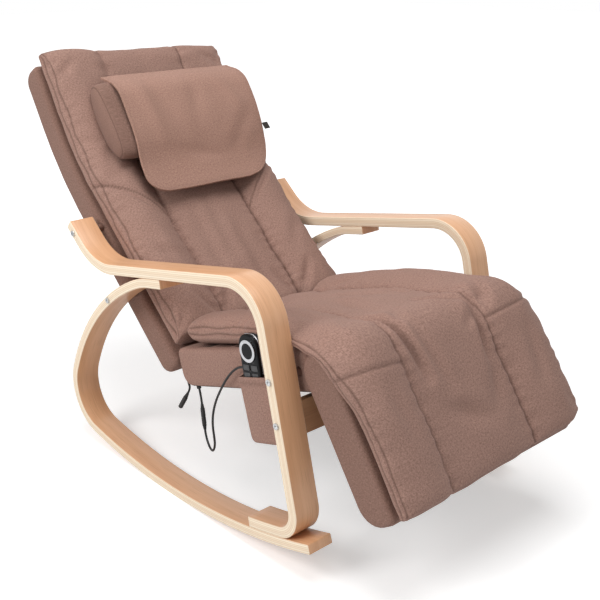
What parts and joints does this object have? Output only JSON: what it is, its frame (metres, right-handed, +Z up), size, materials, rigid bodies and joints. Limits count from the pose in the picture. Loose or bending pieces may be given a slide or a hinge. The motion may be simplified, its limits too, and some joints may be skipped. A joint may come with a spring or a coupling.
{
  "type": "massage rocking chair",
  "caption": "Upholstered massage rocking chair with bent-wood side frames, a hinged leg rest, a head pillow under a draped flap and a wired handset in a side pocket.",
  "frame": {"origin": "on the floor under the lowest point of the runners, midway between the two side frames", "axes": "+Z up, the sitter faces -Y, +X to the sitter's left, across the chair"},
  "size_m": [0.657, 1.273, 0.8963],
  "materials": {
    "bent_wood": "satin",
    "rail_wood": "raw",
    "upholstery": "woven",
    "webbing": "woven",
    "steel": "satin",
    "bright_ring": "polished",
    "alloy": "satin",
    "brass": "satin",
    "motor_paint": "satin",
    "dark_plastic": "matte",
    "gloss_black": "gloss",
    "key_plastic": "satin",
    "gear_plastic": "satin",
    "cord_rubber": "matte",
    "head_rubber": "matte"
  },
  "bodies": {
    "chair": {"arm_strip_left": "bent_wood", "arm_strip_right": "bent_wood", "back_frame": "rail_wood", "back_pad": "upholstery", "back_shell": "upholstery", "blank_tab": "upholstery", "bolt_spacers": "dark_plastic", "connector_plug": "dark_plastic", "connector_socket": "dark_plastic", "control_box": "dark_plastic", "cord_glands": "dark_plastic", "frame_bolts": "steel", "frame_nuts": "steel", "front_stretcher": "bent_wood", "guide_rods": "steel", "handset_cord": "cord_rubber", "handset_lead": "cord_rubber", "handset_pocket": "upholstery", "head_pillow": "upholstery", "hinge_pins": "steel", "knee_pad": "upholstery", "pillow_flap": "upholstery", "power_lead": "cord_rubber", "power_socket": "dark_plastic", "rocker_left": "bent_wood", "rocker_right": "bent_wood", "rod_brackets": "alloy", "seat_base": "upholstery", "seat_frame": "rail_wood", "seat_hinge_plates": "steel", "seat_pad": "upholstery", "seat_webbing": "webbing", "travel_motor": "alloy", "vibration_motor": "motor_paint"},
    "leg_rest": {"leg_shell": "upholstery", "leg_frame": "rail_wood", "leg_pad": "upholstery", "leg_hinge_plates": "steel"},
    "carriage": {"carriage_plate": "alloy", "carriage_nut": "brass", "gear_housing": "gear_plastic", "kneading_motor": "motor_paint"},
    "screw": {"lead_screw": "steel"},
    "worm_shaft": {"worm": "steel"},
    "kneader_right": {"kneading_gear_right": "gear_plastic", "head_arm_right": "steel", "massage_heads_right": "head_rubber"},
    "kneader_left": {"kneading_gear_left": "gear_plastic", "head_arm_left": "steel", "massage_heads_left": "head_rubber"},
    "shaker_weight": {"eccentric_weight": "steel"},
    "handset": {"handset_back": "dark_plastic", "handset_face": "gloss_black", "handset_ring": "bright_ring", "handset_gland": "dark_plastic"},
    "power_push": {"power_button": "gloss_black"},
    "key_push_upper_rear": {"key_upper_rear": "key_plastic"},
    "key_push_upper_front": {"key_upper_front": "key_plastic"},
    "key_push_lower_rear": {"key_lower_rear": "key_plastic"},
    "key_push_lower_front": {"key_lower_front": "key_plastic"}
  },
  "joints": [
    {"name": "leg_rest_hinge", "type": "hinge", "parent": "chair", "child": "leg_rest", "pos_m": [0, -0.426, 0.41], "axis": [-1, 0, 0], "range_deg": [-20, 56], "deforming": ["knee_pad"]},
    {"name": "carriage_slide", "type": "slide", "parent": "chair", "child": "carriage", "axis": [0, 0.7302, 0.6833], "range_m": [-0.085, 0.085]},
    {"name": "screw_turn", "type": "hinge", "parent": "chair", "child": "screw", "pos_m": [0, 0.21927, 0.37764], "axis": [0, 0.7302, 0.6833], "range_deg": [-3830, 3830]},
    {"name": "kneader_right_turn", "type": "hinge", "parent": "carriage", "child": "kneader_right", "pos_m": [-0.075, 0.23985, 0.44346], "axis": [0, -0.6833, 0.7302], "continuous": true},
    {"name": "kneader_left_turn", "type": "hinge", "parent": "carriage", "child": "kneader_left", "pos_m": [0.075, 0.23985, 0.44346], "axis": [0, -0.6833, 0.7302], "continuous": true},
    {"name": "worm_turn", "type": "hinge", "parent": "carriage", "child": "worm_shaft", "pos_m": [0, 0.26697, 0.45926], "axis": [1, 0, 0], "continuous": true},
    {"name": "shaker_turn", "type": "hinge", "parent": "chair", "child": "shaker_weight", "pos_m": [0.025, -0.24143, 0.33015], "axis": [1, 0, 0], "continuous": true},
    {"name": "handset_lift", "type": "slide", "parent": "chair", "child": "handset", "axis": [0, 0.2079, 0.9781], "range_m": [0, 0.095], "deforming": ["handset_cord"]},
    {"name": "power_push_travel", "type": "slide", "parent": "handset", "child": "power_push", "axis": [1, 0, 0], "range_m": [0, 0.001], "stiffness_N_per_m": 900},
    {"name": "key_push_upper_rear_travel", "type": "slide", "parent": "handset", "child": "key_push_upper_rear", "axis": [1, 0, 0], "range_m": [0, 0.001], "stiffness_N_per_m": 600},
    {"name": "key_push_upper_front_travel", "type": "slide", "parent": "handset", "child": "key_push_upper_front", "axis": [1, 0, 0], "range_m": [0, 0.001], "stiffness_N_per_m": 600},
    {"name": "key_push_lower_rear_travel", "type": "slide", "parent": "handset", "child": "key_push_lower_rear", "axis": [1, 0, 0], "range_m": [0, 0.001], "stiffness_N_per_m": 600},
    {"name": "key_push_lower_front_travel", "type": "slide", "parent": "handset", "child": "key_push_lower_front", "axis": [1, 0, 0], "range_m": [0, 0.001], "stiffness_N_per_m": 600}
  ],
  "couplings": [
    {"joint": "screw_turn", "follows": "carriage_slide", "rad_per_m": 785.4},
    {"joint": "kneader_right_turn", "follows": "worm_turn", "ratio": 0.033333},
    {"joint": "kneader_left_turn", "follows": "worm_turn", "ratio": -0.033333}
  ]
}
